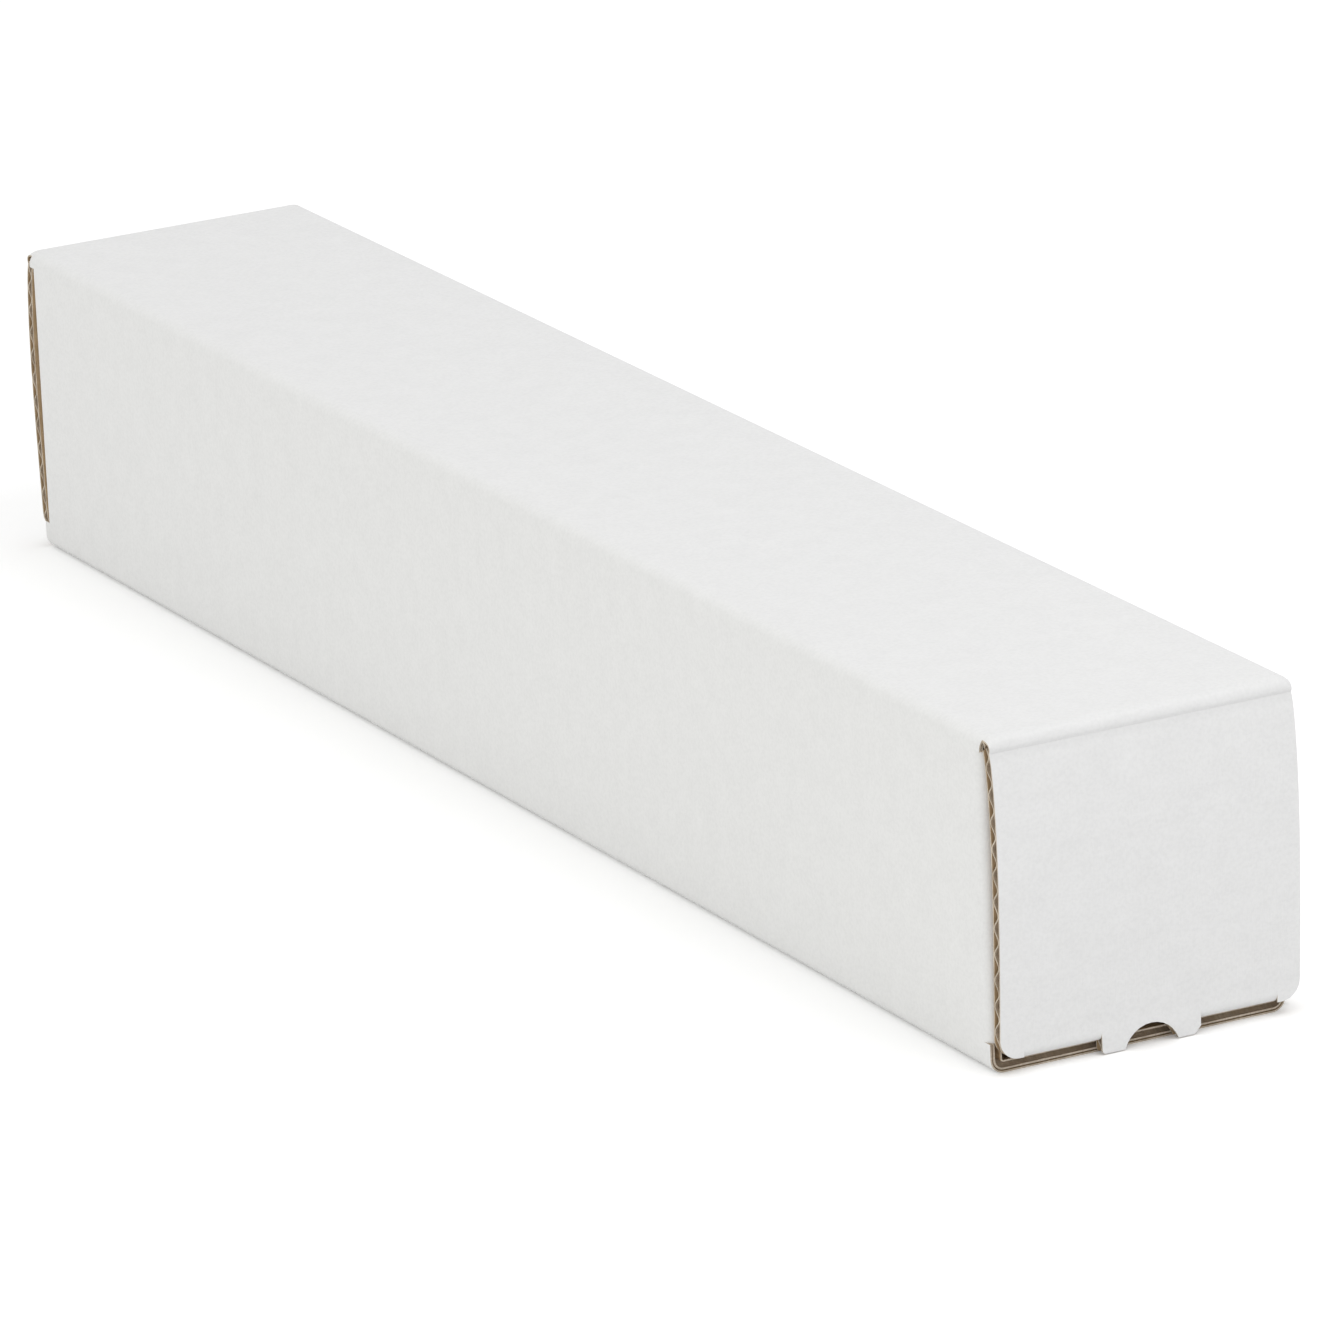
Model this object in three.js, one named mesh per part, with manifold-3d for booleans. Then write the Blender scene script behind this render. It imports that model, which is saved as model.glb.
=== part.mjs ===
// A long square mailer box, folded from one blank of white-faced corrugated board.
// Four long folds and a glued lap make the tube. Each end has two side flaps folded in behind
// one end flap, which hinges on the top panel and locks with a flap tucked in above the floor.
// Millimetres: X across the box, Y along it (near end at -Y), Z up, underside at Z = 0.
import * as THREE from "three";
import { mergeVertices } from "three/addons/utils/BufferGeometryUtils.js";
import Module from "manifold-3d";

const wasm = await Module();
wasm.setup();

// Space inside the closed box.
const INSIDE_WIDTH = 76.2;
const INSIDE_HEIGHT = 76.2;
const INSIDE_LENGTH = 508;

// Single-wall board: a wavy medium glued between two liners. The flutes run round the tube.
const BOARD = 3;
const LINER = 0.4;
const MEDIUM = 0.35;
const FLUTE_PITCH = 6.4;
const GLUE_LINE = 1.3;
const LINER_DIP = 0.06;
const FLUTE_STEPS = 6;

// Folds of the tube, and the lap that the floor ends in, glued inside the right wall.
const FOLD_RADIUS = 3.4;
const FOLD_STEPS = 6;
const INNER_FOLD_RADIUS = 0.6;
const LAP_HEIGHT = 25;
const LAP_STUB = 2;
const LAP_SETBACK = 9;
const LAP_TAPER = 8;
const SEAM_EDGE_HEIGHT = 3;
const EDGE_FLUTE_DEPTH = 2.4;

// Side flaps, folded in behind the end flap.
const MOUTH_WIDTH = 12.2;
const SIDE_FLAP_TAPER = 4;
const SIDE_FLAP_CORNER = 5;
const SIDE_FLAP_TOP_GAP = 1;
const SIDE_FLAP_RELIEF = 0.5;

// End flap: its panel, the crease under its top fold and the way it bulges outwards.
const FLAP_INSET = 0.9;
const CREST_CORNER = 1.5;
const CREASE_WIDTH = 1.7;
const CREASE_DEPTH = 0.3;
const BULGE = 1.9;
const BULGE_SKEW = 0.7;
const BULGE_STEPS = 16;
const SHOULDER_DROP = 1.2;
const SHOULDER_RADIUS = 5;

// Tuck flap, bent to the circle that it swings on, and as wide as fits beside the lap.
const TUCK_SIDE_GAP = 1.1;
const TUCK_DEPTH = 25;
const TUCK_TAPER = 4;
const TUCK_CORNER = 8;
const TUCK_FOLD_RADIUS = 2.4;

// Two tabs in the plane of the end flap, with the thumb notch between them.
const TAB_SPAN = 26.5;
const TAB_CORNER = 1;
const TAB_CHAMFER = 1.8;
const TAB_WINDOW_DEPTH = 2.6;
const NOTCH_RADIUS = 7.5;
const NOTCH_DROP = 2;

// Clearances.
const FLAP_GAP = 0.3;
const HINGE_GAP = 0.2;
const TUCK_CLEARANCE = 0.35;
const TAB_CLEARANCE = 0.3;
const SLOT_CLEARANCE = 0.8;

const HALF_WIDTH = INSIDE_WIDTH / 2 + BOARD;
const HALF_INSIDE = INSIDE_WIDTH / 2;
const HEIGHT = INSIDE_HEIGHT + 2 * BOARD;
const CEILING = HEIGHT - BOARD;
const TUBE_LENGTH = INSIDE_LENGTH + 2 * BOARD;
const FLAP_HALF_WIDTH = HALF_WIDTH - FLAP_INSET;
const TUCK_HALF_WIDTH = HALF_INSIDE - BOARD - TUCK_SIDE_GAP;

// Each end is drawn in (out, z): out is measured outwards from the raw end of the floor.
// The hinge is the line where the outer faces of the top panel and the end flap would meet.
const HINGE_OUT = FLAP_GAP + BOARD;
const TUCK_RADIUS = Math.hypot(HINGE_OUT, HEIGHT - BOARD) - TUCK_CLEARANCE;
const TUCK_FOLD_OUT = HINGE_OUT - TUCK_FOLD_RADIUS;
const TUCK_FOLD_Z = HEIGHT - Math.sqrt((TUCK_RADIUS - TUCK_FOLD_RADIUS) ** 2 - TUCK_FOLD_RADIUS ** 2);
const TUCK_FOLD_ANGLE = Math.asin(TUCK_FOLD_RADIUS / (TUCK_RADIUS - TUCK_FOLD_RADIUS));
const TUCK_INNER_Z = HEIGHT - Math.sqrt((TUCK_RADIUS - BOARD) ** 2 - BOARD ** 2);
const SCORE_Z = Math.max(TUCK_FOLD_Z, TUCK_INNER_Z) + 1;
const CREASE_Z = CEILING - CREASE_WIDTH;
const SLOT_TOP = HEIGHT - Math.sqrt((TUCK_RADIUS - BOARD) ** 2 - (HINGE_OUT + BOARD) ** 2) + SLOT_CLEARANCE;

const X = new THREE.Vector3(1, 0, 0);
const OUT = new THREE.Vector3(0, -1, 0);
const ALONG = new THREE.Vector3(0, 1, 0);
const UP = new THREE.Vector3(0, 0, 1);
const END = new THREE.Vector3(0, -TUBE_LENGTH / 2, 0);

// A geometry as a closed solid that can be joined to others.
function solid(geometry) {
  const bare = geometry.index ? geometry.toNonIndexed() : geometry;
  const only = new THREE.BufferGeometry().setAttribute("position", bare.getAttribute("position"));
  const merged = mergeVertices(only, 1e-4);
  return new wasm.Manifold(
    new wasm.Mesh({
      numProp: 3,
      vertProperties: merged.attributes.position.array,
      triVerts: new Uint32Array(merged.index.array),
    }),
  );
}

// A solid as a geometry with flat faces.
function faceted(body) {
  const mesh = body.getMesh();
  const stride = mesh.numProp;
  const corners = new Float32Array(mesh.numVert * 3);
  for (let i = 0; i < mesh.numVert; i++) {
    corners.set(mesh.vertProperties.subarray(i * stride, i * stride + 3), i * 3);
  }
  const indexed = new THREE.BufferGeometry()
    .setAttribute("position", new THREE.BufferAttribute(corners, 3))
    .setIndex(new THREE.BufferAttribute(mesh.triVerts, 1));
  const flat = indexed.toNonIndexed();
  flat.computeVertexNormals();
  return flat;
}

// The outline runs counterclockwise, which lets ExtrudeGeometry turn the holes the right way round.
function shapeOf(points, holes = []) {
  const outline = points.map(([a, b]) => new THREE.Vector2(a, b));
  const shape = new THREE.Shape(THREE.ShapeUtils.isClockWise(outline) ? outline.reverse() : outline);
  shape.holes = holes.map((hole) => new THREE.Path(hole.map(([a, b]) => new THREE.Vector2(a, b))));
  return shape;
}

// Outlines drawn on the axes `across` and `rise`, made `depth` thick from `origin` along their cross product.
function prism(shapes, depth, across, rise, origin) {
  const geometry = new THREE.ExtrudeGeometry(shapes, { depth, steps: 1, bevelEnabled: false });
  const forward = new THREE.Vector3().crossVectors(across, rise);
  geometry.applyMatrix4(new THREE.Matrix4().makeBasis(across, rise, forward).setPosition(origin));
  return solid(geometry);
}

function block(low, high) {
  const size = high.map((value, i) => value - low[i]);
  const centre = high.map((value, i) => (value + low[i]) / 2);
  return solid(new THREE.BoxGeometry(...size).translate(...centre));
}

function arc(centre, radius, from, to, steps) {
  return Array.from({ length: steps + 1 }, (_, i) => {
    const angle = from + ((to - from) * i) / steps;
    return [centre[0] + radius * Math.cos(angle), centre[1] + radius * Math.sin(angle)];
  });
}

// The hollows between medium and liners for the stretch from start to end of a path.
// place(s, n) gives the point at distance s along the path and depth n under the outer face.
function fluteHollows(place, start, end, steps = FLUTE_STEPS) {
  const swing = (BOARD - 2 * LINER - MEDIUM) / 2;
  const wave = (2 * Math.PI) / FLUTE_PITCH;
  const tip = Math.min(GLUE_LINE / 2, FLUTE_PITCH / 6);
  const count = Math.floor((end - start) / (FLUTE_PITCH / 2)) - 1;
  const spare = end - start - (count + 1) * (FLUTE_PITCH / 2);
  const hollows = [];
  for (let i = 0; i < count; i++) {
    const left = start + spare / 2 + (i * FLUTE_PITCH) / 2;
    const outer = i % 2 === 0;
    const edge = outer ? LINER : BOARD - LINER;
    const points = [place(left + tip, edge)];
    for (let k = 1; k < steps; k++) {
      const s = tip + ((FLUTE_PITCH - 2 * tip) * k) / steps;
      const slope = swing * wave * Math.sin(wave * s);
      const web = (MEDIUM / 2) * Math.hypot(1, slope);
      const middle = BOARD / 2 - swing * Math.cos(wave * s) * (outer ? 1 : -1);
      points.push(place(left + s, outer ? middle - web : middle + web));
    }
    points.push(place(left + FLUTE_PITCH - tip, edge));
    points.push(place(left + FLUTE_PITCH / 2, outer ? edge - LINER_DIP : edge + LINER_DIP));
    hollows.push(points);
  }
  return hollows;
}

// How far the end flap bulges outwards at height z: most of it in the upper half.
function bulge(z) {
  const share = Math.min(Math.max((CREASE_Z - z) / (CREASE_Z - SCORE_Z), 0), 1);
  return BULGE * Math.sin(Math.PI * share ** BULGE_SKEW);
}

function flapFace(depth) {
  return Array.from({ length: BULGE_STEPS + 1 }, (_, i) => {
    const z = CREASE_Z + ((SCORE_Z - CREASE_Z) * i) / BULGE_STEPS;
    return [HINGE_OUT - depth + bulge(z), z];
  });
}

// The end flap's fluted panel, drawn from the hinge down and cut to its outline: rounded
// shoulders, the edge that the tuck flap folds from, and the two tabs with the notch.
function endPanel() {
  const half = Math.asin(HINGE_GAP / 2 / BOARD);
  const profile = [
    ...arc([FLAP_GAP, CEILING], BOARD, Math.PI / 4 - half, 0, FOLD_STEPS / 2),
    [HINGE_OUT - CREASE_DEPTH, CEILING - CREASE_WIDTH / 2],
    ...flapFace(0),
    [HINGE_OUT, TAB_CLEARANCE],
    [FLAP_GAP, TAB_CLEARANCE],
    ...flapFace(BOARD).reverse(),
    [FLAP_GAP, CEILING - HINGE_GAP * Math.SQRT1_2],
  ];
  const flutes = fluteHollows((z, depth) => [HINGE_OUT - depth + bulge(z), z], SCORE_Z + 0.4, CREASE_Z - 1);
  const width = 2 * HALF_WIDTH;
  const start = new THREE.Vector3(width / 2, END.y, 0);
  const board = prism(shapeOf(profile, flutes), width, OUT, UP, start);
  const shoulder = BOARD + TUCK_CLEARANCE - SHOULDER_DROP;
  const tuck = TUCK_HALF_WIDTH;
  const round = Math.min(SHOULDER_RADIUS, 0.9 * (FLAP_HALF_WIDTH - tuck));
  const notchCentre = [0, -NOTCH_DROP];
  const notchAngle = Math.asin((TAB_CLEARANCE + NOTCH_DROP) / NOTCH_RADIUS);
  const w = FLAP_HALF_WIDTH;
  const outline = shapeOf([
    ...arc([-w + CREST_CORNER, HEIGHT - CREST_CORNER], CREST_CORNER, Math.PI / 2, Math.PI, 3),
    ...arc([-w + round, shoulder + round], round, Math.PI, 1.5 * Math.PI, FOLD_STEPS),
    [-tuck, shoulder],
    [-tuck, SCORE_Z],
    [-TAB_SPAN / 2, SCORE_Z],
    ...arc([-TAB_SPAN / 2 + TAB_CORNER, TAB_CLEARANCE + TAB_CORNER], TAB_CORNER, Math.PI, 1.5 * Math.PI, 3),
    ...arc(notchCentre, NOTCH_RADIUS, Math.PI - notchAngle, notchAngle, 14),
    [TAB_SPAN / 2 - TAB_CHAMFER, TAB_CLEARANCE],
    [TAB_SPAN / 2, TAB_CLEARANCE + TAB_CHAMFER],
    [TAB_SPAN / 2, SCORE_Z],
    [tuck, SCORE_Z],
    [tuck, shoulder],
    ...arc([w - round, shoulder + round], round, -Math.PI / 2, 0, FOLD_STEPS),
    ...arc([w - CREST_CORNER, HEIGHT - CREST_CORNER], CREST_CORNER, 0, Math.PI / 2, 3),
  ]);
  const reach = HINGE_OUT + BULGE + 2;
  const cutter = prism(outline, reach, X, UP, END.clone().addScaledVector(OUT, -1));
  return board.intersect(cutter);
}

// The tuck flap with its fold, and the window left in it where the tabs are cut out.
function tuckFlap() {
  const onCircle = (angle, depth) => [
    HINGE_OUT - (TUCK_RADIUS - depth) * Math.sin(angle),
    HEIGHT - (TUCK_RADIUS - depth) * Math.cos(angle),
  ];
  const endAngle = Math.asin((HINGE_OUT + TUCK_DEPTH) / TUCK_RADIUS);
  const cornerAngle = Math.asin(BOARD / (TUCK_RADIUS - BOARD));
  const sweep = (depth, from, to) =>
    Array.from({ length: 9 }, (_, i) => onCircle(from + ((to - from) * i) / 8, depth));
  const profile = [
    [HINGE_OUT, SCORE_Z],
    ...arc([TUCK_FOLD_OUT, TUCK_FOLD_Z], TUCK_FOLD_RADIUS, 0, -Math.PI / 2 - TUCK_FOLD_ANGLE, FOLD_STEPS),
    ...sweep(0, TUCK_FOLD_ANGLE, endAngle).slice(1),
    ...sweep(BOARD, endAngle, cornerAngle),
    [FLAP_GAP, SCORE_Z],
  ];
  const from = TUCK_RADIUS * TUCK_FOLD_ANGLE + 2;
  const to = TUCK_RADIUS * endAngle - 1;
  const flutes = fluteHollows((s, depth) => onCircle(s / TUCK_RADIUS, depth), from, to);
  const half = TUCK_HALF_WIDTH;
  const start = new THREE.Vector3(half, END.y, 0);
  const board = prism(shapeOf(profile, flutes), 2 * half, OUT, UP, start);
  const tip = half - TUCK_TAPER;
  const plan = shapeOf([
    [-half, -BOARD],
    ...arc([-tip + TUCK_CORNER, -TUCK_DEPTH + TUCK_CORNER], TUCK_CORNER, Math.PI, 1.5 * Math.PI, FOLD_STEPS),
    ...arc([tip - TUCK_CORNER, -TUCK_DEPTH + TUCK_CORNER], TUCK_CORNER, -Math.PI / 2, 0, FOLD_STEPS),
    [half, -BOARD],
    [half, HINGE_OUT + 1],
    [-half, HINGE_OUT + 1],
  ]);
  const top = new THREE.Vector3(0, END.y, HEIGHT / 2);
  const cutter = prism(plan, HEIGHT / 2, X, OUT, top);
  const window = block(
    [-TAB_SPAN / 2, END.y - HINGE_OUT - 1, 0],
    [TAB_SPAN / 2, END.y + TAB_WINDOW_DEPTH, SCORE_Z],
  );
  return board.intersect(cutter).subtract(window);
}

// The tube in section: the outer faces from the seam round to the lap, and the space inside.
function tube() {
  const r = FOLD_RADIUS;
  const q = INNER_FOLD_RADIUS;
  const lap = HALF_INSIDE - BOARD;
  const stub = BOARD + LAP_STUB;
  const outer = [
    [HALF_WIDTH, SEAM_EDGE_HEIGHT],
    ...arc([HALF_WIDTH - r, HEIGHT - r], r, 0, Math.PI / 2, FOLD_STEPS),
    ...arc([-HALF_WIDTH + r, HEIGHT - r], r, Math.PI / 2, Math.PI, FOLD_STEPS),
    ...arc([-HALF_WIDTH + r, r], r, Math.PI, 1.5 * Math.PI, FOLD_STEPS),
    ...arc([HALF_INSIDE - r, r], r, -Math.PI / 2, 0, FOLD_STEPS),
    [HALF_INSIDE, SEAM_EDGE_HEIGHT],
  ];
  const inner = [
    [lap, stub],
    [HALF_INSIDE, stub],
    ...arc([HALF_INSIDE - q, CEILING - q], q, 0, Math.PI / 2, 2),
    ...arc([-HALF_INSIDE + q, CEILING - q], q, Math.PI / 2, Math.PI, 2),
    ...arc([-HALF_INSIDE + q, BOARD + q], q, Math.PI, 1.5 * Math.PI, 2),
    ...arc([lap - q, BOARD + q], q, -Math.PI / 2, 0, 2),
  ];
  const origin = new THREE.Vector3(0, TUBE_LENGTH / 2, 0);
  return prism(shapeOf(outer, [inner]), TUBE_LENGTH, X, UP, origin);
}

// The lap that the floor ends in, standing against the inside of the right wall, its ends cut back.
function lapPanel() {
  const low = TUBE_LENGTH / 2 - LAP_SETBACK;
  const high = low - LAP_TAPER;
  const outline = shapeOf([
    [-low, BOARD + LAP_STUB / 2],
    [low, BOARD + LAP_STUB / 2],
    [high, BOARD + LAP_HEIGHT],
    [-high, BOARD + LAP_HEIGHT],
  ]);
  return prism(outline, BOARD, ALONG, UP, new THREE.Vector3(HALF_INSIDE - BOARD, 0, 0));
}

// Flute ends showing in a raw edge of the tube: hollows EDGE_FLUTE_DEPTH deep, from height z upwards.
function edgeFlutes(faceX, length, z) {
  const place = (s, depth) => [faceX - depth, s];
  const hollows = fluteHollows(place, -length / 2, length / 2, 3).map((points) => shapeOf(points));
  return prism(hollows, EDGE_FLUTE_DEPTH, X, ALONG, new THREE.Vector3(0, 0, z));
}

// The top panel carried on over the end flap to the hinge: half of the rounded top fold.
function crest() {
  const half = Math.asin(HINGE_GAP / 2 / BOARD);
  const profile = shapeOf([
    [0, CEILING],
    [Math.max(FLAP_GAP - HINGE_GAP * Math.SQRT1_2, 0.05), CEILING],
    ...arc([FLAP_GAP, CEILING], BOARD, Math.PI / 4 + half, Math.PI / 2, FOLD_STEPS / 2),
    [0, HEIGHT],
  ]);
  const width = 2 * FLAP_HALF_WIDTH;
  const board = prism(profile, width, OUT, UP, new THREE.Vector3(width / 2, END.y, 0));
  const w = FLAP_HALF_WIDTH;
  const outline = shapeOf([
    [-w, CEILING - 1],
    [w, CEILING - 1],
    ...arc([w - CREST_CORNER, HEIGHT - CREST_CORNER], CREST_CORNER, 0, Math.PI / 2, 3),
    ...arc([-w + CREST_CORNER, HEIGHT - CREST_CORNER], CREST_CORNER, Math.PI / 2, Math.PI, 3),
  ]);
  return board.intersect(prism(outline, HINGE_OUT + 2, X, UP, END.clone().addScaledVector(OUT, -1)));
}

// A side flap with the fold that joins it to its wall. side is -1 for the left wall, 1 for the right.
function sideFlap(side) {
  const tip = MOUTH_WIDTH / 2;
  const low = SLOT_TOP;
  const high = CEILING - SIDE_FLAP_TOP_GAP;
  const place = (x, out) => [side * x, out];
  const bend = arc([HALF_INSIDE, -BOARD], BOARD, 0, Math.PI / 2, FOLD_STEPS).map(([x, out]) => place(x, out));
  const root = -BOARD - SIDE_FLAP_RELIEF;
  const plan = [
    place(HALF_WIDTH, root),
    ...bend,
    place(tip, 0),
    place(tip, -BOARD),
    place(HALF_INSIDE, -BOARD),
    place(HALF_INSIDE, root),
  ];
  const flutes = fluteHollows((s, depth) => place(HALF_INSIDE - s, -depth), 2, HALF_INSIDE - tip - 1);
  const top = new THREE.Vector3(0, END.y, high);
  const board = prism(shapeOf(plan, flutes), high - low, X, OUT, top);
  const c = SIDE_FLAP_CORNER;
  const corner = (z, from, to) => arc([tip + c, z], c, from, to, FOLD_STEPS).map(([x, y]) => [side * x, y]);
  const outline = shapeOf([
    place(HALF_WIDTH + 1, low),
    place(HALF_INSIDE - 1, low),
    ...corner(low + SIDE_FLAP_TAPER + c, 1.5 * Math.PI, Math.PI),
    ...corner(high - SIDE_FLAP_TAPER - c, Math.PI, Math.PI / 2),
    place(HALF_INSIDE - 1, high),
    place(HALF_WIDTH + 1, high),
  ]);
  return board.intersect(prism(outline, BOARD + 2, X, UP, END.clone().addScaledVector(OUT, -BOARD - 1)));
}

// The wall is cut away where a side flap's fold takes its place, with a relief slit above and below it.
function sideFlapRoot(side) {
  const xs = [side * HALF_INSIDE, side * (HALF_WIDTH + 1)].sort((a, b) => a - b);
  return block(
    [xs[0], END.y - 1, SLOT_TOP - SIDE_FLAP_RELIEF],
    [xs[1], END.y + BOARD, CEILING - SIDE_FLAP_TOP_GAP + SIDE_FLAP_RELIEF],
  );
}

// The raw end of the floor is cut along a flute, so it shows the medium slanting between the liners.
function floorEndHollows() {
  const half = INSIDE_WIDTH / 2 - BOARD - FOLD_RADIUS;
  const middle = BOARD / 2;
  const upper = shapeOf([
    [0.5, middle + MEDIUM / 2],
    [0.5, BOARD - LINER],
    [-FLUTE_PITCH / 4, BOARD - LINER],
    [0, middle + MEDIUM / 2],
  ]);
  const lower = shapeOf([
    [0.5, LINER],
    [0.5, middle - MEDIUM / 2],
    [0, middle - MEDIUM / 2],
    [-FLUTE_PITCH / 4, BOARD - LINER - MEDIUM],
    [-FLUTE_PITCH / 2, LINER],
  ]);
  return prism([upper, lower], 2 * half, OUT, UP, new THREE.Vector3(half, END.y, 0));
}

function boxBody() {
  const ends = [-1, 1];
  let body = tube().add(lapPanel());
  body = body.subtract(edgeFlutes(HALF_WIDTH, TUBE_LENGTH, SEAM_EDGE_HEIGHT - 0.01));
  const lapLength = TUBE_LENGTH - 2 * LAP_SETBACK - 2 * LAP_TAPER;
  const lapTop = BOARD + LAP_HEIGHT - EDGE_FLUTE_DEPTH + 0.01;
  body = body.subtract(edgeFlutes(HALF_INSIDE, lapLength, lapTop));
  const roots = ends.map(sideFlapRoot).reduce((a, b) => a.add(b)).add(floorEndHollows());
  const parts = ends.map(sideFlap).reduce((a, b) => a.add(b)).add(crest());
  for (const turn of [0, 180]) {
    body = body.subtract(roots.rotate([0, 0, turn])).add(parts.rotate([0, 0, turn]));
  }
  return body;
}

function node(name, geometry, colour) {
  const material = new THREE.MeshStandardMaterial({ color: colour, roughness: 0.85, flatShading: true });
  const mesh = new THREE.Mesh(geometry, material);
  mesh.name = name;
  return mesh;
}

const endFlap = faceted(endPanel().add(tuckFlap()));
const nearFlap = node("near_end_flap", endFlap, "#e2e2e0");
const farFlap = node("far_end_flap", endFlap.clone(), "#e2e2e0");
farFlap.rotation.z = Math.PI;

const box = new THREE.Group();
box.name = "long_mailer_box";
box.add(node("box_body", faceted(boxBody()), "#e9e9e7"), nearFlap, farFlap);

export default box;
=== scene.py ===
import bpy
import numpy as np
from mathutils import Matrix, Vector


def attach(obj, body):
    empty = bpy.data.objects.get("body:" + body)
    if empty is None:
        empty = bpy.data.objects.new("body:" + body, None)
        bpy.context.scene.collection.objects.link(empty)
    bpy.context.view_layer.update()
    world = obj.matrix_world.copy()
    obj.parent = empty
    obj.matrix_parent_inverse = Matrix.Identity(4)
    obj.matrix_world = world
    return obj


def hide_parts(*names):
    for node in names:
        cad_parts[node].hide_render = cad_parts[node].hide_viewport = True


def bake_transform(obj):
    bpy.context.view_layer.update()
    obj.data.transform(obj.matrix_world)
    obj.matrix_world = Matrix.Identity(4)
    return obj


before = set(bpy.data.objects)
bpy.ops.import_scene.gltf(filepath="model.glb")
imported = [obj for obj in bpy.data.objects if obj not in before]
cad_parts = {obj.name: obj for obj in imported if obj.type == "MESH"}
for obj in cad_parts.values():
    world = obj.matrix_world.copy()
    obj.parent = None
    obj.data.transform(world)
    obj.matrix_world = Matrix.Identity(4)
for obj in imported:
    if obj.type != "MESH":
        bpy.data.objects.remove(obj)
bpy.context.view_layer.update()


# The tube: one blank of single-wall corrugated board, scored and folded round four long edges,
# with its glue lap standing inside the right wall. The board is a white-topped face liner, a wavy
# kraft medium and a kraft inner liner, and its flutes run round the tube, across its length.
half_width = 41.1
height = 2 * half_width
inside_length = 508.0
board = 3.0
half_inside = half_width - board
ceiling = height - board
tube_end = inside_length / 2 + board
liner = 0.4
medium = 0.35
glue_bite = 0.04
flute = 6.4
columns_per_flute = 8
fold_radius = 3.4
fold_steps = 6
seam_edge = 3.0
panel_rows = np.array([-24.0, -12, 0, 12, 24])
# The lap's rows run from its raw edge down to its fold. Its ends are set back, and more so at the
# raw edge.
lap_heights = [28.0, 22, 16, 10, 5, 4]
lap_short = 9.0
lap_slant = 8.0
# An end flap swings about a line level with the top's face, in the plane of its own face. Its tuck
# flap lies on a circle round that line, just clear of the floor's end, and the side flaps start
# above the tuck flap's inner face.
flap_gap = 0.3
hinge_out = flap_gap + board
tuck_clearance = 0.35
tuck_radius = np.hypot(hinge_out, ceiling) - tuck_clearance
swing_clearance = 0.8
swing_top = height - np.sqrt((tuck_radius - board) ** 2 - (hinge_out + board) ** 2)
side_flap_low = swing_top + swing_clearance
side_flap_gap = 1.0
side_flap_high = ceiling - side_flap_gap
relief = 0.02
foot_short = 1.5
tolerance = 0.01


def face_top(wave):
    """Depth under the outer face at which the face liner starts: none."""
    return 0 * wave


def face_bottom(wave):
    """Depth at which the face liner ends: the liner's thickness."""
    return 0 * wave + liner


def inner_top(wave):
    """Depth at which the inner liner starts: a liner's thickness short of the board's."""
    return 0 * wave + board - liner


def inner_bottom(wave):
    """Depth at which the inner liner ends: the board's thickness."""
    return 0 * wave + board


def medium_sheet(wave, side):
    """Depth of one face of the medium. Its middle is a cosine between the liners, one period to a
    flute, and its faces lie half its thickness to either side, measured square to the slope."""
    swing = (board - 2 * liner - medium) / 2 + glue_bite
    turn = 2 * np.pi * wave / flute
    slope = swing * 2 * np.pi / flute * np.sin(turn)
    return board / 2 - swing * np.cos(turn) + side * medium / 2 * np.hypot(1, slope)


def medium_top(wave):
    """Depth of the medium's face towards the face liner."""
    return medium_sheet(wave, -1)


def medium_bottom(wave):
    """Depth of the medium's face towards the inner liner."""
    return medium_sheet(wave, 1)


def paper_layer(patches, top, bottom):
    """One layer of paper as a closed shell. A patch is a grid of points on the board: at(depth)
    gives them at a depth under the outer face. Each kept cell becomes two triangles on the layer's
    upper face and two on its lower one, points that agree to a thousandth of a millimetre are
    welded, and every edge that only one triangle uses is closed by two triangles of cut edge
    between the faces."""
    uppers, lowers, flats, triangles = [], [], [], []
    count = 0
    for at, wave, along, crease, keep in patches:
        upper = at(top(wave))
        lower = at(bottom(wave))
        number = count + np.arange(wave.size).reshape(wave.shape)
        corners = number[:-1, :-1], number[1:, :-1], number[1:, 1:], number[:-1, 1:]
        quads = np.stack(corners, axis=-1)[keep]
        flat_upper = upper.reshape(-1, 3)
        across = flat_upper[quads[:, 1] - count] - flat_upper[quads[:, 0] - count]
        onward = flat_upper[quads[:, 3] - count] - flat_upper[quads[:, 0] - count]
        outward = (upper - lower).reshape(-1, 3)[quads[:, 0] - count]
        if np.sum(np.cross(across, onward) * outward) < 0:
            quads = quads[:, ::-1]
        triangles += [quads[:, [0, 1, 2]], quads[:, [0, 2, 3]]]
        uppers.append(flat_upper)
        lowers.append(lower.reshape(-1, 3))
        flats.append(np.stack([wave, along, crease], axis=-1).reshape(-1, 3))
        count += wave.size
    upper = np.concatenate(uppers)
    key = np.round(upper, 3)
    _, first, merged = np.unique(key, axis=0, return_index=True, return_inverse=True)
    upper = upper[first]
    lower = np.concatenate(lowers)[first]
    flat = np.concatenate(flats)[first]
    triangle = merged.reshape(-1)[np.concatenate(triangles)]
    a, b, c = triangle.T
    triangle = triangle[(a != b) & (b != c) & (c != a)]
    edges = np.concatenate([triangle[:, [0, 1]], triangle[:, [1, 2]], triangle[:, [2, 0]]])
    size = len(upper)
    rim = edges[~np.isin(edges[:, 1] * size + edges[:, 0], edges[:, 0] * size + edges[:, 1])]
    start, end = rim.T
    first_half = np.stack([end, start, start + size], axis=1)
    second_half = np.stack([end, start + size, end + size], axis=1)
    walls = np.concatenate([first_half, second_half])
    faces = np.concatenate([triangle, triangle[:, ::-1] + size, walls])
    kind = np.repeat([0, 1, 2], [len(triangle), len(triangle), len(walls)])
    return np.concatenate([upper, lower]), faces, kind, np.concatenate([flat, flat])


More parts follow.
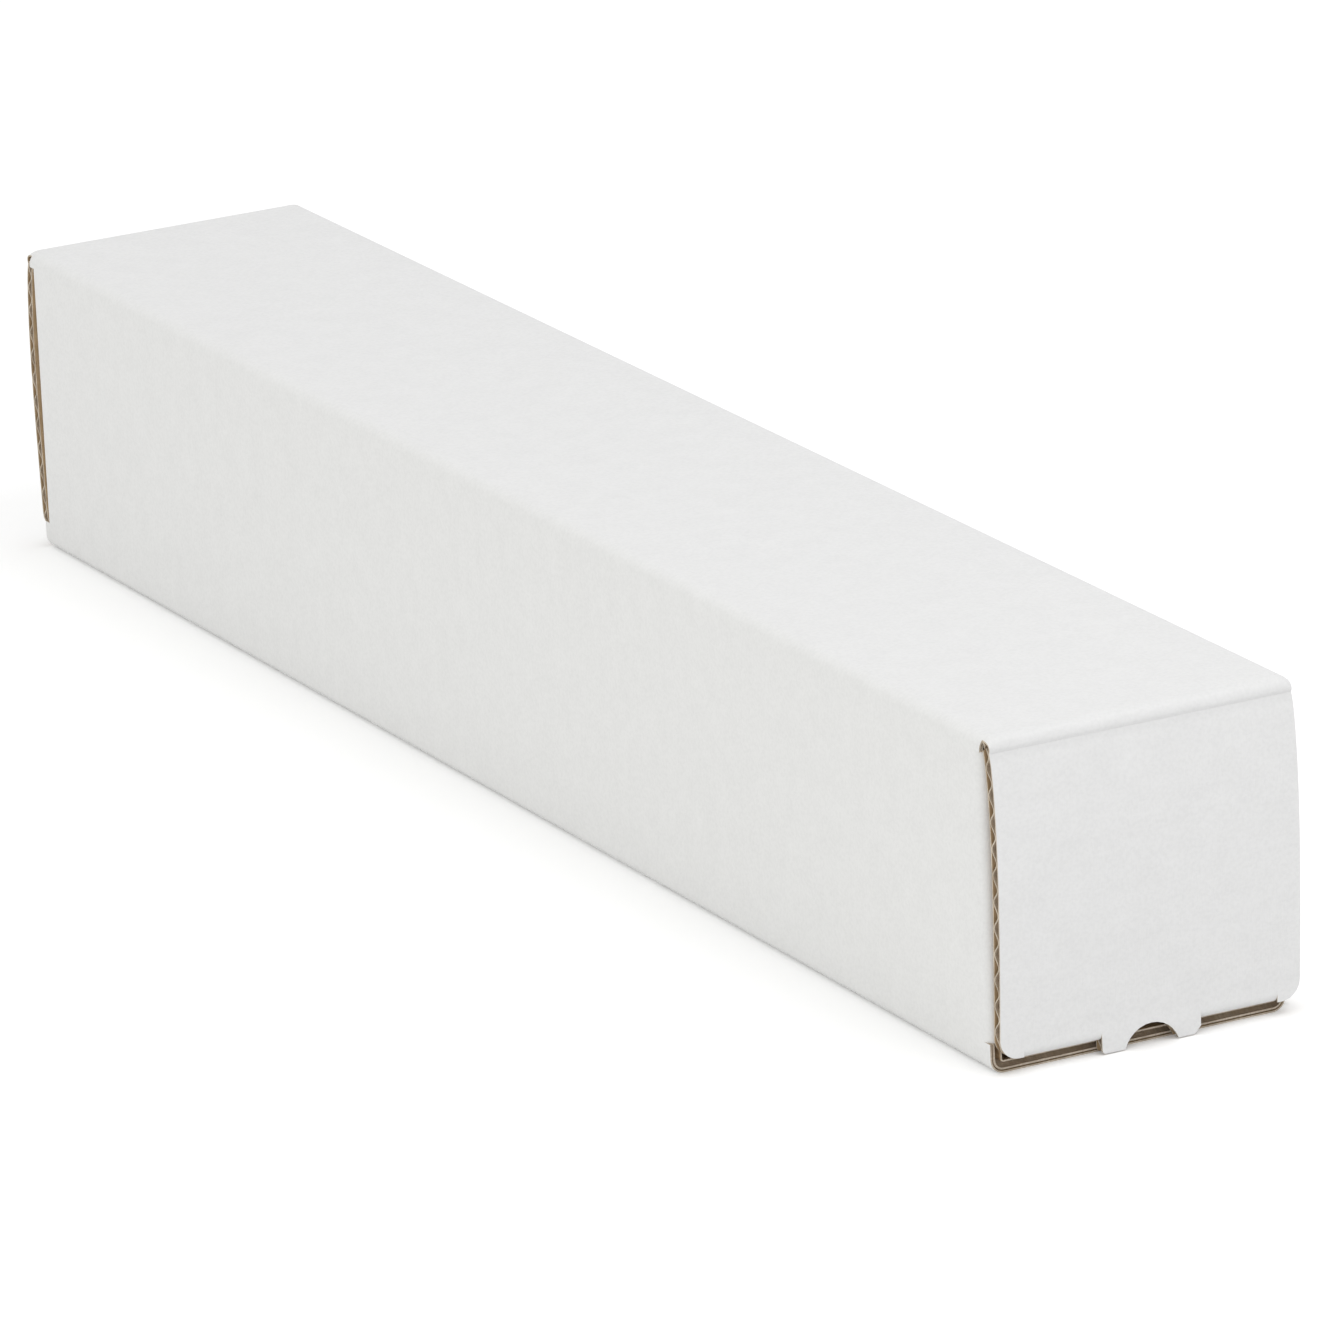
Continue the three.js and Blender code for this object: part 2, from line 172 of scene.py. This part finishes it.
def board_piece(name, layers, patches, slots):
    """A mesh of paper layers, each a shell of its own. Each layer names its two depth functions and
    the material numbers of its upper face, lower face and cut edge. The UV map holds millimetres:
    across the flutes, then along them. The attribute crease is 1 along the middle of a pressed
    score, and the face liner's material darkens by it as painted shade."""
    points, faces, numbers, flats = [], [], [], []
    count = 0
    for top, bottom, look in layers:
        layer, face, kind, flat = paper_layer(patches, top, bottom)
        points.append(layer)
        faces.append(face + count)
        numbers.append(np.asarray(look)[kind])
        flats.append(flat)
        count += len(layer)
    points = np.concatenate(points) / 1000
    faces = np.concatenate(faces)
    used, compact = np.unique(faces, return_inverse=True)
    faces = compact.reshape(faces.shape)
    mesh = bpy.data.meshes.new(name)
    mesh.from_pydata(points[used].tolist(), [], faces.tolist())
    mesh.polygons.foreach_set("material_index", np.concatenate(numbers).astype(np.int32))
    mesh.polygons.foreach_set("use_smooth", np.ones(len(faces), dtype=bool))
    flat = np.concatenate(flats)[used]
    corner_flat = flat[faces][:, :, :2].astype(np.float32)
    mesh.uv_layers.new(name="board").data.foreach_set("uv", corner_flat.ravel())
    pressed = mesh.attributes.new("crease", "FLOAT", "POINT")
    pressed.data.foreach_set("value", flat[:, 2].astype(np.float32))
    mesh.set_sharp_from_angle(angle=np.radians(35))
    for material in slots:
        mesh.materials.append(material)
    piece = bpy.data.objects.new(name, mesh)
    bpy.context.scene.collection.objects.link(piece)
    return piece


def linear(colour):
    """An sRGB colour written as hex, turned to the linear red, green, blue and alpha of a socket."""
    value = np.array([int(colour[i : i + 2], 16) for i in (1, 3, 5)]) / 255
    curve = np.where(value <= 0.04045, value / 12.92, ((value + 0.055) / 1.055) ** 2.4)
    return (*curve.tolist(), 1.0)


def add_node(tree, kind, inputs, **settings):
    """Adds a node, sets its properties, and links or sets each named input."""
    node = tree.nodes.new(kind)
    for key, value in settings.items():
        setattr(node, key, value)
    for key, value in inputs.items():
        if isinstance(value, bpy.types.NodeSocket):
            tree.links.new(value, node.inputs[key])
        else:
            node.inputs[key].default_value = value
    return node


def white_topped_liner():
    """Bleached, lightly coated top ply on a kraft liner, made on a paper machine and pressed on the
    flutes: an even oyster white with a faint cloudy formation, fine fibres along the machine
    direction, a soft sheen, and the flutes just showing through as a washboard."""
    cloud_size = 0.007
    speck_size = 0.0009
    fibres_per_mm = (0.35, 2.4, 1.0)
    washboard_height = 0.00005
    fibre_height = 0.00002
    material = bpy.data.materials.new("white_topped_liner")
    material.use_nodes = True
    tree = material.node_tree
    shader = tree.nodes["Principled BSDF"]
    shader.inputs["Roughness"].default_value = 0.5
    shader.inputs["Specular IOR Level"].default_value = 0.45
    place = add_node(tree, "ShaderNodeTexCoord", {}).outputs["Object"]
    flat = add_node(tree, "ShaderNodeUVMap", {}, uv_map="board").outputs["UV"]
    cloud = add_node(
        tree,
        "ShaderNodeTexNoise",
        {"Vector": place, "Scale": 1 / cloud_size, "Detail": 3.0, "Roughness": 0.55},
    )
    speck = add_node(
        tree,
        "ShaderNodeTexNoise",
        {"Vector": place, "Scale": 1 / speck_size, "Detail": 2.0},
    )
    grain = add_node(tree, "ShaderNodeMapping", {"Vector": flat, "Scale": fibres_per_mm})
    fibre = add_node(
        tree,
        "ShaderNodeTexNoise",
        {"Vector": grain.outputs[0], "Scale": 1.0, "Detail": 3.0},
    )
    clouded = add_node(
        tree,
        "ShaderNodeMix",
        {"Factor": cloud.outputs["Fac"], "A": linear("#eaeaea"), "B": linear("#e3e3e3")},
        data_type="RGBA",
    )
    fleck = add_node(
        tree,
        "ShaderNodeMapRange",
        {"Value": speck.outputs["Fac"], "From Min": 0.3, "From Max": 0.62, "To Min": 0.955, "To Max": 1.0},
    )
    flecked = add_node(
        tree,
        "ShaderNodeMix",
        {"Factor": 1.0, "A": clouded.outputs["Result"], "B": fleck.outputs["Result"]},
        data_type="RGBA",
        blend_type="MULTIPLY",
    )
    # Painted shade: where the attribute crease is 1 the face is made up to 5% darker, standing in for the
    # shade that lies in a pressed score's groove.
    crease = add_node(tree, "ShaderNodeAttribute", {}, attribute_name="crease")
    painted_crease_shade = add_node(
        tree,
        "ShaderNodeMapRange",
        {"Value": crease.outputs["Fac"], "To Min": 1.0, "To Max": 0.95},
    )
    scored = add_node(
        tree,
        "ShaderNodeMix",
        {"Factor": 1.0, "A": flecked.outputs["Result"], "B": painted_crease_shade.outputs["Result"]},
        data_type="RGBA",
        blend_type="MULTIPLY",
    )
    tree.links.new(scored.outputs["Result"], shader.inputs["Base Color"])
    # At scale 1 the wave node's bands are a tenth of pi apart, so this gives one band to a flute.
    washboard = add_node(
        tree,
        "ShaderNodeTexWave",
        {"Vector": flat, "Scale": np.pi / 10 / flute, "Distortion": 0.0},
        bands_direction="X",
    )
    ribbed = add_node(
        tree,
        "ShaderNodeBump",
        {"Height": washboard.outputs["Fac"], "Strength": 1.0, "Distance": washboard_height},
    )
    fibrous = add_node(
        tree,
        "ShaderNodeBump",
        {
            "Height": fibre.outputs["Fac"],
            "Strength": 1.0,
            "Distance": fibre_height,
            "Normal": ribbed.outputs["Normal"],
        },
    )
    tree.links.new(fibrous.outputs["Normal"], shader.inputs["Normal"])
    return material


def kraft_paper(name, light, dark, fibre_height):
    """Unbleached kraft, dull and fibrous: brown with darker shives along the machine direction,
    in cloudy patches a few millimetres wide."""
    cloud_size = 0.004
    fibres_per_mm = (0.25, 2.0, 1.0)
    material = bpy.data.materials.new(name)
    material.use_nodes = True
    tree = material.node_tree
    shader = tree.nodes["Principled BSDF"]
    shader.inputs["Roughness"].default_value = 0.85
    shader.inputs["Specular IOR Level"].default_value = 0.2
    place = add_node(tree, "ShaderNodeTexCoord", {}).outputs["Object"]
    flat = add_node(tree, "ShaderNodeUVMap", {}, uv_map="board").outputs["UV"]
    grain = add_node(tree, "ShaderNodeMapping", {"Vector": flat, "Scale": fibres_per_mm})
    fibre = add_node(
        tree,
        "ShaderNodeTexNoise",
        {"Vector": grain.outputs[0], "Scale": 1.0, "Detail": 5.0},
    )
    cloud = add_node(
        tree,
        "ShaderNodeTexNoise",
        {"Vector": place, "Scale": 1 / cloud_size, "Detail": 4.0},
    )
    mixed = add_node(
        tree,
        "ShaderNodeMath",
        {0: fibre.outputs["Fac"], 1: cloud.outputs["Fac"]},
        operation="MULTIPLY",
    )
    level = add_node(
        tree,
        "ShaderNodeMapRange",
        {"Value": mixed.outputs[0], "From Min": 0.12, "From Max": 0.4},
    )
    colour = add_node(
        tree,
        "ShaderNodeMix",
        {"Factor": level.outputs["Result"], "A": linear(dark), "B": linear(light)},
        data_type="RGBA",
    )
    tree.links.new(colour.outputs["Result"], shader.inputs["Base Color"])
    rough = add_node(
        tree,
        "ShaderNodeBump",
        {"Height": fibre.outputs["Fac"], "Strength": 1.0, "Distance": fibre_height},
    )
    tree.links.new(rough.outputs["Normal"], shader.inputs["Normal"])
    return material


# White face, brown liner, greyer brown medium, and the paler, rougher brown of a die-cut edge.
finishes = [
    white_topped_liner(),
    kraft_paper("kraft_inner_liner", "#c6ac8a", "#ad9270", 0.00003),
    kraft_paper("kraft_fluting_medium", "#cabaa6", "#ae9c86", 0.00003),
    kraft_paper("die_cut_kraft_edge", "#d6cbbb", "#b0a392", 0.00006),
]
face_layer = (face_top, face_bottom, (0, 1, 3))
medium_layer = (medium_top, medium_bottom, (2, 2, 3))
inner_layer = (inner_top, inner_bottom, (1, 1, 3))


def bend(centre, radius, start, end, steps):
    """Points and outward normals of an arc: centre plus radius times (cos t, sin t), with t going
    from start to end in degrees."""
    turn = np.radians(np.linspace(start, end, steps + 1))
    normal = np.stack([np.cos(turn), np.sin(turn)], axis=1)
    return np.asarray(centre) + radius * normal, normal


def straight(first, second, normal):
    """Points at the paired coordinates first and second, all facing along one normal."""
    pair = np.broadcast_arrays(np.asarray(first, float), np.asarray(second, float))
    points = np.stack(pair, axis=1)
    return points, np.broadcast_to(np.asarray(normal, float), points.shape)


def distance(points):
    """Distance run along a row of points."""
    return np.concatenate([[0], np.cumsum(np.hypot(*np.diff(points, axis=0).T))])


def tube_patch(y):
    """The tube's section, from the top of the lap down, round the floor, the left wall, the top and
    the right wall to the raw seam edge, carried along y. Rows of the lap end short and slanting,
    rows that a side flap folds from end where its fold begins, and the right wall's foot ends a
    little short behind the end flap."""
    flat = half_width - fold_radius
    slit_low = side_flap_low - relief
    slit_high = side_flap_high + relief
    wall_heights = [slit_low, side_flap_low, 25, 43, 60, side_flap_high, slit_high]
    rows = [
        straight(half_inside, lap_heights, (1, 0)),
        bend((half_inside - fold_radius, fold_radius), fold_radius, 0, -90, fold_steps),
        straight(panel_rows[::-1], 0, (0, -1)),
        bend((-flat, fold_radius), fold_radius, -90, -180, fold_steps),
        straight(-half_width, wall_heights, (-1, 0)),
        bend((-flat, height - fold_radius), fold_radius, 180, 90, fold_steps),
        straight(panel_rows, height, (0, 1)),
        bend((flat, height - fold_radius), fold_radius, 90, 0, fold_steps),
        straight(half_width, [*wall_heights[::-1], seam_edge], (1, 0)),
    ]
    section = np.concatenate([points for points, _ in rows])
    facing = np.concatenate([normals for _, normals in rows])
    x, z = section.T
    # The lap's lowest row belongs to the fold, and runs the full length.
    lap = (np.arange(len(x)) < len(lap_heights) - 1) * 1.0
    up_lap = (z - lap_heights[-1]) / (lap_heights[0] - lap_heights[-1])
    above_low = z > side_flap_low - tolerance
    below_high = z < side_flap_high + tolerance
    folded = (np.abs(x) > half_width - tolerance) & above_low & below_high
    foot = (x > half_width - tolerance) & ~above_low
    end = tube_end - lap * (lap_short + lap_slant * up_lap) - folded * board - foot * foot_short
    along = np.clip(y[:, None], -end, end)
    around = np.broadcast_to(distance(section), along.shape)

    def at(depth):
        """The section moved in along its normals by the depth, at each place along the tube."""
        depth = np.broadcast_to(depth, along.shape)
        return np.stack([x - depth * facing[:, 0], along, z - depth * facing[:, 1]], axis=-1)

    keep = np.ones((len(y) - 1, len(x) - 1), dtype=bool)
    return at, along, around, 0 * along, keep


# The liners are straight along the box, so a column every 8 mm does for them. The medium follows
# each flute.
wall_end = tube_end - board
columns = np.array([-tube_end, *np.linspace(-wall_end, wall_end, 65), tube_end])
flute_count = round(2 * tube_end / flute)
flute_columns = np.linspace(-tube_end, tube_end, 1 + columns_per_flute * flute_count)
tube_liners = board_piece("tube_liners", [face_layer, inner_layer], [tube_patch(columns)], finishes)
tube_medium = board_piece("tube_medium", [medium_layer], [tube_patch(flute_columns)], finishes)
for piece in (tube_liners, tube_medium):
    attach(piece, "box")
    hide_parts("box_body")


# Side flaps: four short flaps of the same board, folded square from the ends of the two walls and
# lying behind the end flaps. Their outlines taper and end in round corners, and their flutes stand
# upright, as in the walls that they grow from.
mouth = 6.1
flap_taper = 4.0
flap_corner = 5.0
taper_start = half_inside - 1
flap_rows = 34
corner_rows = 9
upright_rows = 9


def side_flap_patch(side, turn):
    """The flap's section runs from the wall round a quarter circle and on across the mouth. At each
    place along it the points rise evenly, and are held between the outline's lower and upper edge.
    side mirrors it to the other wall and turn takes it to the other end."""
    corner_x = mouth + flap_corner
    run = np.linspace(half_inside, corner_x, flap_rows)[1:]
    tip = corner_x - flap_corner * np.sin(np.radians(np.linspace(0, 90, corner_rows)))[1:]
    rows = [
        bend((half_inside, -board), board, 0, 90, fold_steps),
        straight([*run, *tip], 0, (0, 1)),
    ]
    section = np.concatenate([points for points, _ in rows])
    facing = np.concatenate([normals for _, normals in rows])
    x, out = section.T
    slant = flap_taper * np.clip((taper_start - x) / (taper_start - corner_x), 0, 1)
    reach = np.clip(corner_x - x, 0, flap_corner)
    rise = slant + flap_corner - np.sqrt(flap_corner**2 - reach**2)
    z = np.linspace(side_flap_low, side_flap_high, upright_rows)
    up = np.clip(z[:, None], side_flap_low + rise, side_flap_high - rise)
    around = np.broadcast_to(distance(section), up.shape)

    def at(depth):
        """The section moved in along its normals by the depth, at each height up the flap."""
        depth = np.broadcast_to(depth, up.shape)
        sideways = side * (x - depth * facing[:, 0])
        outward = tube_end + out - depth * facing[:, 1]
        return np.stack([turn * sideways, -turn * outward, up], axis=-1)

    keep = np.ones((len(z) - 1, len(x) - 1), dtype=bool)
    return at, around, up, 0 * up, keep


for end_name, turn in (("near", 1), ("far", -1)):
    for side_name, side in (("left", -1), ("right", 1)):
        name = f"{end_name}_{side_name}_side_flap"
        patch = side_flap_patch(side, turn)
        piece = board_piece(name, [face_layer, medium_layer, inner_layer], [patch], finishes)
        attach(piece, "box")
        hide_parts("box_body")


# End flaps: the top panel carried on at each end, folded down over the mouth on a rounded crest,
# bulging a little, and locked by a tuck flap bent in above the floor. Two tabs with a thumb notch
# between them stay in the flap's plane. The flutes lie across it, so its raw sides show them.
flap_half = 40.2
crest_steps = 10
crest_middle = 1 + crest_steps // 2
crease_width = 1.7
crease_z = ceiling - crease_width
crease_depth = 0.3
# Painted shade along the crease: the band of darker face is centred this far below the crease's middle,
# and is this wide.
crease_shade_below = 0.4
crease_shade_width = 1.4
bulge_out = 1.9
bulge_skew = 0.7
drop_fade = 1.5
left_shoulder = 3.9
right_shoulder = 3.5
shoulder_radius = 5.0
tuck_side_gap = 1.1
tuck_half = half_inside - board - tuck_side_gap
tuck_fold = 2.4
tuck_fold_steps = 8
tuck_fold_z = 5.7403
tuck_inner_z = height - np.sqrt((tuck_radius - board) ** 2 - board**2)
score_rise = 1.0
score_z = tuck_inner_z + score_rise
tuck_depth = 25.0
tuck_taper = 4.0
tuck_corner = 8.0
tuck_tip_rows = np.array([0.12, 0.45, 1.0, 1.8])
tab_half = 13.25
tab_low = 0.3
tab_corner = 1.0
tab_chamfer = 1.8
window_depth = 2.6
notch_radius = 7.5
notch_drop = 2.0
face_step = 1.6
flute_step = flute / columns_per_flute


def flap_columns():
    """Columns across the flap, closer together where its lower edge curves. Each half's columns are
    mirrored to the other, and the left tab's round corner has its own."""
    quarter = np.radians(np.linspace(0, 90, 8))
    shoulder_x = flap_half - shoulder_radius
    notch_x = np.sqrt(notch_radius**2 - (tab_low + notch_drop) ** 2)
    half = np.concatenate(
        [
            notch_x * np.sin(quarter),
            [tab_half - tab_chamfer, tab_half, 18, 23, 28.5, tuck_half],
            shoulder_x + shoulder_radius * np.sin(quarter),
        ]
    )
    left_corner = -tab_half + tab_corner - tab_corner * np.sin(quarter)
    return np.unique(np.round(np.concatenate([-half, half, left_corner]), 5))


def flap_low(x):
    """Height of the flap's lower edge at each column: a round shoulder outside the tuck flap, the
    score where the tuck flap folds, and on the tabs a flat edge with a round left corner, a
    chamfered right corner and the circle of the notch."""
    reach = np.clip(np.abs(x) - flap_half + shoulder_radius, 0, shoulder_radius)
    shoulder = np.where(x < 0, left_shoulder, right_shoulder)
    shoulder = shoulder + shoulder_radius - np.sqrt(shoulder_radius**2 - reach**2)
    notch = np.sqrt(np.clip(notch_radius**2 - x**2, 0, None)) - notch_drop
    left = np.clip(-x - tab_half + tab_corner, 0, tab_corner)
    left_rise = tab_corner - np.sqrt(tab_corner**2 - left**2)
    right_rise = np.clip(x - tab_half + tab_chamfer, 0, None)
    tab = np.maximum(tab_low + left_rise + right_rise, notch)
    beside_tabs = np.where(np.abs(x) >= tuck_half, shoulder, score_z)
    return np.where(np.abs(x) <= tab_half, tab, beside_tabs)


def flap_path(step):
    """The end flap's outer face seen from the side, as points (outward, height) and normals: a
    quarter circle of the board's thickness over the crest, then straight down to the tabs' ends,
    pushed out by the sine of pi times a power of the share of the way from crease to score."""
    arc, arc_facing = bend((flap_gap, ceiling), board, 90, 0, crest_steps)
    pressed = np.linspace(ceiling, crease_z, 5)[1:-1]
    levels = np.linspace(crease_z, score_z, 1 + round((crease_z - score_z) / step))
    below = np.linspace(score_z, tab_low, 2 + round((score_z - tab_low) / step))[1:]
    heights = np.concatenate([pressed, levels, below])
    share = np.clip((crease_z - heights) / (crease_z - score_z), 0, 1)
    swell = bulge_out * np.sin(np.pi * share**bulge_skew)
    panel = np.stack([hinge_out + swell, heights], axis=1)
    panel_facing = np.broadcast_to([1.0, 0.0], panel.shape)
    points = np.concatenate([[[0, height]], arc, panel])
    return points, np.concatenate([[[0, 1]], arc_facing, panel_facing])


def panel_patch(turn, step, part):
    """The crest, the bulged panel, its shoulders and the tabs: the flap's path carried across its
    columns, and cut off at the outline's lower edge. turn takes it to the other end. part is all
    of it, the crest as far as the middle of its bend, or the flap from there on."""
    chosen = {
        "all": slice(None),
        "crest": slice(0, crest_middle + 1),
        "flap": slice(crest_middle, None),
    }[part]
    points, facing = flap_path(step)
    run = distance(points)[chosen]
    out, z = points[chosen].T
    facing = facing[chosen]
    x = flap_columns()
    low = flap_low(x)[:, None]
    # The crease is a V pressed into the face only, and the crest's ends drop as the top's folds do.
    middle = (ceiling + crease_z) / 2
    press = crease_depth * np.clip(1 - np.abs(z - middle) / (ceiling - middle), 0, 1)
    reach = np.clip(np.abs(x) - half_width + fold_radius, 0, fold_radius)
    drop = (fold_radius - np.sqrt(fold_radius**2 - reach**2))[:, None]
    fade = np.clip((z - ceiling) / board, 0, 1) ** drop_fade
    around = run - (np.maximum(z, low) - z)
    across = np.broadcast_to(x[:, None], around.shape)

    def at(depth):
        """The path moved in along its normals by the depth, less the pressing, at each column."""
        depth = np.broadcast_to(depth, around.shape)
        outward = out - depth * facing[:, 0] - press * (1 - depth / board)
        up = np.maximum(z - depth * facing[:, 1], low) - drop * fade
        return np.stack([turn * across, -turn * (tube_end + outward), up], axis=-1)

    middle_x = (x[:-1] + x[1:]) / 2
    beside_tuck = (np.abs(middle_x) > tuck_half) | (np.abs(middle_x) < tab_half)
    keep = beside_tuck[:, None] | (z[:-1] > score_z + tolerance)[None, :]
    # Painted shade: a soft band round the crease, where its groove lies in shade, handed on as the
    # attribute crease that darkens the face liner.
    crease_shade = np.exp(-(((z - middle + crease_shade_below) / crease_shade_width) ** 2))
    return at, around, across, np.broadcast_to(crease_shade, around.shape), keep


def tuck_patch(turn, step):
    """The tuck flap, which shares the score line with the panel: a short straight, a tight bend,
    and the circle round the hinge that it swings on. Its sides taper and end in round corners, and
    the window that the tabs were cut from is left out. turn takes it to the other end."""
    x = flap_columns()
    inside = x[np.abs(x) <= tuck_half + tolerance]
    start_angle = np.degrees(np.arcsin(tuck_fold / (tuck_radius - tuck_fold)))
    end_angle = np.degrees(np.arcsin((hinge_out + tuck_depth) / tuck_radius))
    window_angle = np.degrees(np.arcsin((hinge_out + window_depth) / tuck_radius))
    tip = end_angle - np.degrees(tuck_tip_rows / tuck_radius)
    sweep = np.arange(start_angle, end_angle, np.degrees(step / tuck_radius))[1:-1]
    swung = np.radians(np.unique(np.concatenate([sweep, tip, [window_angle, end_angle]])))
    lead = np.array([[hinge_out, score_z], [hinge_out, (score_z + tuck_fold_z) / 2]])
    fold_angle = 90 + start_angle
    fold, _ = bend((hinge_out - tuck_fold, tuck_fold_z), tuck_fold, 0, -fold_angle, tuck_fold_steps)
    circle_out = hinge_out - tuck_radius * np.sin(swung)
    circle_z = height - tuck_radius * np.cos(swung)
    path = np.concatenate([lead, fold, np.stack([circle_out, circle_z], axis=1)])
    folded = np.radians(np.linspace(0, fold_angle, tuck_fold_steps + 1))
    angle = np.concatenate([np.zeros(2), folded, swung])
    region = np.repeat([0, 1, 2], [len(lead), len(fold), len(swung)])
    path_out, path_z = path.T
    taper_share = np.clip((-path_out - board) / (tuck_depth - tuck_corner - board), 0, 1)
    past_corner = np.clip(-path_out - tuck_depth + tuck_corner, 0, tuck_corner)
    rounding = tuck_corner - np.sqrt(tuck_corner**2 - past_corner**2)
    width = tuck_half - tuck_taper * taper_share - rounding
    sideways = np.clip(inside[:, None], -width, width)
    flap_points, _ = flap_path(step)
    score_run = distance(flap_points)[np.argmin(np.abs(flap_points[:, 1] - score_z))]
    around = np.broadcast_to(score_run + distance(path), sideways.shape)

    def at(depth):
        """The path moved in by the depth: square to the straight, the bend and the circle in turn.
        None of it passes the straight's own inner face, or the circle's."""
        depth = np.broadcast_to(depth, sideways.shape)
        straight_out = hinge_out - depth
        lowest = height - np.sqrt((tuck_radius - depth) ** 2 - depth**2)
        fold_out = hinge_out - tuck_fold + (tuck_fold - depth) * np.cos(angle)
        fold_z = tuck_fold_z - (tuck_fold - depth) * np.sin(angle)
        swing_out = np.minimum(hinge_out - (tuck_radius - depth) * np.sin(angle), straight_out)
        swing_z = height - np.sqrt((tuck_radius - depth) ** 2 - (hinge_out - swing_out) ** 2)
        outward = np.choose(region, [straight_out, np.minimum(fold_out, straight_out), swing_out])
        up = np.choose(region, [np.maximum(path_z, lowest), np.maximum(fold_z, lowest), swing_z])
        return np.stack([turn * sideways, -turn * (tube_end + outward), up], axis=-1)

    middle_x = (inside[:-1] + inside[1:]) / 2
    before_window = path_out[1:] > -window_depth - tolerance
    open_cells = (np.abs(middle_x) < tab_half)[:, None] & before_window[None, :]
    return at, around, sideways, 0 * sideways, ~open_cells


# The face liner is one sheet over the crest, the panel and the tuck flap. The medium and the inner
# liner are crushed through at the middle of the crest's bend, so there they part as the flap opens.
for end_name, turn in (("near", 1), ("far", -1)):
    node = f"{end_name}_end_flap"
    patches = [panel_patch(turn, face_step, "all"), tuck_patch(turn, face_step)]
    face = board_piece(f"{node}_face", [face_layer], patches, finishes)
    # The face liner's placement is applied to its mesh, alike at either end.
    if end_name == "near":
        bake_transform(face)
    else:
        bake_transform(face)
    patches = [panel_patch(turn, flute_step, "flap"), tuck_patch(turn, flute_step)]
    backing = board_piece(f"{node}_backing", [medium_layer, inner_layer], patches, finishes)
    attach(backing, f"{end_name}_flap")
    for piece in (face, backing):
        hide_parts(node)
    patches = [panel_patch(turn, flute_step, "crest")]
    crest = board_piece(f"{end_name}_crest_backing", [medium_layer, inner_layer], patches, finishes)
    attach(crest, "box")
    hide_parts("box_body")


# Floor: a plain pale sheet under the box. Seen directly it is white, so that only the box's own
# soft shadow shows on it; to other rays it is pale grey, so that it throws little light back up.
floor_half = 9.0
floor_glow = 0.14
floor_corners = [(-1, -1, 0), (1, -1, 0), (1, 1, 0), (-1, 1, 0)]
floor_mesh = bpy.data.meshes.new("floor")
floor_mesh.from_pydata((floor_half * np.array(floor_corners)).tolist(), [], [(0, 1, 2, 3)])
floor = bpy.data.objects.new("floor", floor_mesh)
bpy.context.scene.collection.objects.link(floor)
floor_paper = bpy.data.materials.new("matt_background_paper")
floor_paper.use_nodes = True
floor_tree = floor_paper.node_tree
floor_shader = floor_tree.nodes["Principled BSDF"]


def seen_directly(tree):
    """A socket that is 1 for rays from the camera and for mirrored ones, and 0 for all others."""
    path = add_node(tree, "ShaderNodeLightPath", {})
    direct = add_node(
        tree,
        "ShaderNodeMath",
        {0: path.outputs["Is Camera Ray"], 1: path.outputs["Is Glossy Ray"]},
        operation="MAXIMUM",
    )
    return direct.outputs[0]


floor_seen = seen_directly(floor_tree)
floor_colour = add_node(
    floor_tree,
    "ShaderNodeMix",
    {"Factor": floor_seen, "A": linear("#f0f0f0"), "B": linear("#ffffff")},
    data_type="RGBA",
)
glow = add_node(
    floor_tree,
    "ShaderNodeMapRange",
    {"Value": floor_seen, "To Min": 0.0, "To Max": floor_glow},
)
floor_tree.links.new(floor_colour.outputs["Result"], floor_shader.inputs["Base Color"])
floor_tree.links.new(glow.outputs["Result"], floor_shader.inputs["Emission Strength"])
floor_shader.inputs["Emission Color"].default_value = (1.0, 1.0, 1.0, 1.0)
floor_shader.inputs["Roughness"].default_value = 1.0
floor_shader.inputs["Specular IOR Level"].default_value = 0.0
floor_mesh.materials.append(floor_paper)


# Light: an even white room and two broad soft lamps. One stands out from the near end and makes
# the crest and the near half of the top a little lighter. The other lights the left wall, and is
# a trace warmer, as that wall is in the photograph.
room_strength = 0.84
scene = bpy.context.scene
room = bpy.data.worlds.new("white_room")
scene.world = room
room.use_nodes = True
room_tree = room.node_tree
background = room_tree.nodes["Background"]
strength = add_node(
    room_tree,
    "ShaderNodeMapRange",
    {"Value": seen_directly(room_tree), "To Min": room_strength, "To Max": 1.0},
)
room_tree.links.new(strength.outputs["Result"], background.inputs["Strength"])
background.inputs["Color"].default_value = (1.0, 1.0, 1.0, 1.0)


def soft_lamp(name, place, target, size, watts, colour):
    """A square area lamp at a place in metres, turned so that its face looks at the target."""
    data = bpy.data.lights.new(name, "AREA")
    data.size = size
    data.energy = watts
    data.color = colour
    lamp = bpy.data.objects.new(name, data)
    scene.collection.objects.link(lamp)
    aim = (Vector(target) - Vector(place)).to_track_quat("-Z", "Y")
    lamp.matrix_world = Matrix.Translation(place) @ aim.to_matrix().to_4x4()


soft_lamp("end_lamp", (0.35, -0.9, 1.42), (0, -0.2, 0.05), 0.7, 5.3, (1.0, 1.0, 1.0))
soft_lamp("wall_lamp", (-1.7, -0.3, 0.5), (0, 0, 0.04), 0.9, 3.5, (1.0, 1.0, 0.84))


# Camera: where the photograph was taken from, fitted to the box's corners and long edges. It looks
# down a little from in front of the near end and to its left, through a long lens, rolled slightly.
azimuth, elevation, roll = np.radians([-27.257, 17.49, 2.624])
camera_place = (-1.2288, -2.4088, 0.8763)
forward = np.array(
    [
        -np.sin(azimuth) * np.cos(elevation),
        np.cos(azimuth) * np.cos(elevation),
        -np.sin(elevation),
    ]
)
level_right = np.cross(forward, [0, 0, 1])
level_right /= np.linalg.norm(level_right)
level_down = np.cross(forward, level_right)
right = np.cos(roll) * level_right + np.sin(roll) * level_down
down = -np.sin(roll) * level_right + np.cos(roll) * level_down
camera_data = bpy.data.cameras.new("camera")
camera_data.sensor_width = 36
camera_data.lens = 305.15
camera_data.clip_end = 50
camera = bpy.data.objects.new("camera", camera_data)
scene.collection.objects.link(camera)
turned = np.eye(4)
turned[:3, :3] = np.stack([right, -down, -forward], axis=1)
turned[:3, 3] = camera_place
camera.matrix_world = Matrix(turned.tolist())
scene.camera = camera
scene.view_settings.view_transform = "Standard"
